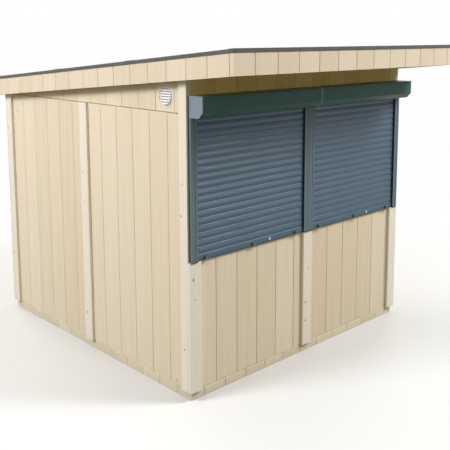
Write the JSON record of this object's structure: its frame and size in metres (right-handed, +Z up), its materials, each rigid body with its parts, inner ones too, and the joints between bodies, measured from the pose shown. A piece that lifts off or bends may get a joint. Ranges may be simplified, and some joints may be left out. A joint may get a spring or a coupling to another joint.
{
  "type": "wooden market hut",
  "caption": "Timber market stall hut with a mono-pitch felted roof that overhangs the front, and closed roller shutters over its serving hatches.",
  "frame": {"origin": "on the ground, under the middle of the walls' plan: the centre of the hut's underside", "axes": "+Z up, -Y out of the front with the shutters, +X to the right of a person who faces the front"},
  "size_m": [2.384, 2.9, 2.299],
  "materials": {
    "wall_wood": "pale oiled softwood boards",
    "trim_wood": "planed pale softwood",
    "fascia_wood": "pale softwood boards",
    "base_wood": "softwood boards, slightly darker",
    "structural_wood": "rough sawn softwood",
    "roof_felt": "mineral roofing felt",
    "shutter_slats": "blue grey lacquered aluminium",
    "shutter_housing": "grey lacquered aluminium",
    "shutter_caps": "light grey cast aluminium",
    "shutter_rails": "grey lacquered aluminium",
    "vent_plastic": "white plastic"
  },
  "bodies": {
    "root": {"back_wall_left_panel": "wall_wood", "back_wall_right_panel": "wall_wood", "base_skirt_back": "base_wood", "base_skirt_front": "base_wood", "base_skirt_left": "base_wood", "base_skirt_right": "base_wood", "corner_trim_back_left": "trim_wood", "corner_trim_back_right": "trim_wood", "corner_trim_front_left": "trim_wood", "corner_trim_front_right": "trim_wood", "fascia_back": "fascia_wood", "fascia_front": "fascia_wood", "fascia_left": "fascia_wood", "fascia_right": "fascia_wood", "floor_bearers": "structural_wood", "floor_deck": "structural_wood", "front_jambs": "wall_wood", "front_mullion": "wall_wood", "front_wall_head": "wall_wood", "front_wall_left_panel": "wall_wood", "front_wall_right_panel": "wall_wood", "joint_cover_back": "trim_wood", "joint_cover_front": "trim_wood", "joint_cover_left": "trim_wood", "joint_cover_right": "trim_wood", "left_gable": "wall_wood", "left_wall_back_panel": "wall_wood", "left_wall_front_panel": "wall_wood", "rafters": "structural_wood", "right_gable": "wall_wood", "right_wall_back_panel": "wall_wood", "right_wall_front_panel": "wall_wood", "roof_boards": "structural_wood", "roof_felt": "roof_felt", "shutter_bottom_bar_left": "shutter_rails", "shutter_bottom_bar_right": "shutter_rails", "shutter_box_left": "shutter_housing", "shutter_box_right": "shutter_housing", "shutter_caps_left": "shutter_caps", "shutter_caps_right": "shutter_caps", "shutter_curtain_left": "shutter_slats", "shutter_curtain_right": "shutter_slats", "shutter_rails_left": "shutter_rails", "shutter_rails_right": "shutter_rails", "vent_grille": "vent_plastic"}
  },
  "joints": []
}
